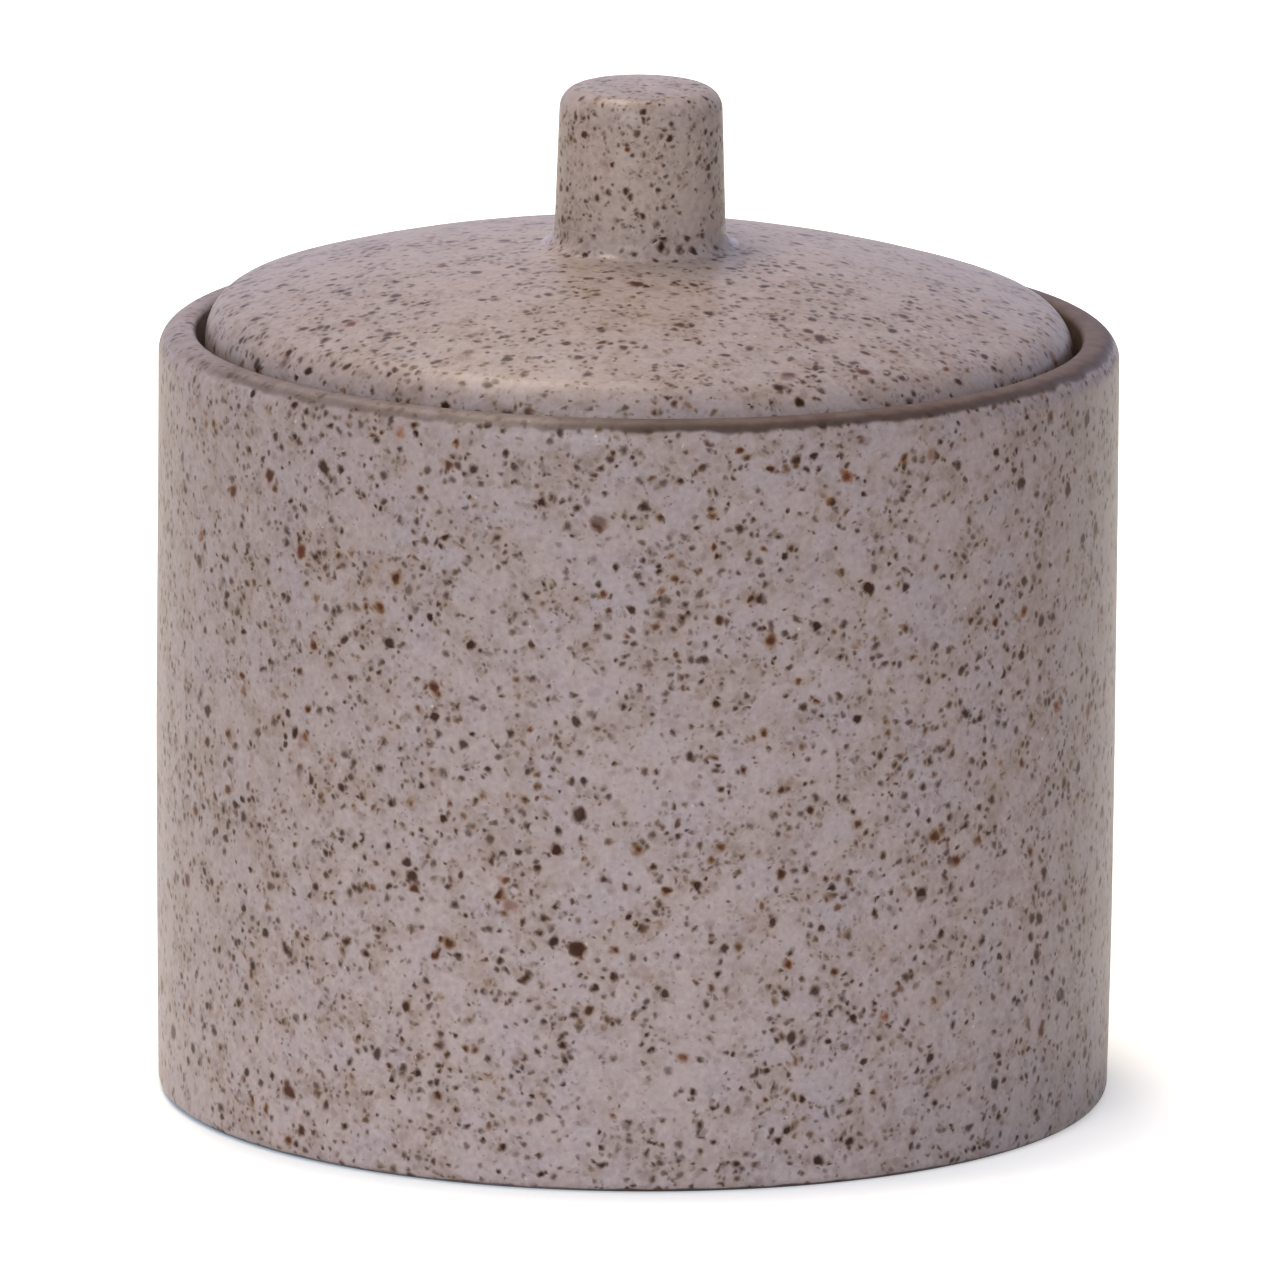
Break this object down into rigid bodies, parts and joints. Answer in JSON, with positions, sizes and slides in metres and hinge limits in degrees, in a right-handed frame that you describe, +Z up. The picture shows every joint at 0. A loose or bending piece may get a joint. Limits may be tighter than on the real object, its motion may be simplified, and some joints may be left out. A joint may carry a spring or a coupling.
{
  "type": "lidded stoneware jar",
  "caption": "Straight-sided round stoneware jar with a recessed mouth and a domed lift-off lid with a knob, for keeping sugar, tea or small things.",
  "frame": {"origin": "on the turning axis, in the plane that the jar stands on", "axes": "+Z up along the turning axis of jar, lid and knob; -Y towards the viewer of the picture"},
  "size_m": [0.095, 0.095, 0.1012],
  "materials": {
    "speckled_glaze": "satin"
  },
  "bodies": {
    "jar": {"jar": "speckled_glaze"},
    "lid": {"lid": "speckled_glaze", "knob": "speckled_glaze"}
  },
  "joints": [
    {"name": "lid_lift", "type": "slide", "parent": "jar", "child": "lid", "axis": [0, 0, 1], "range_m": [0, 0.06]}
  ]
}
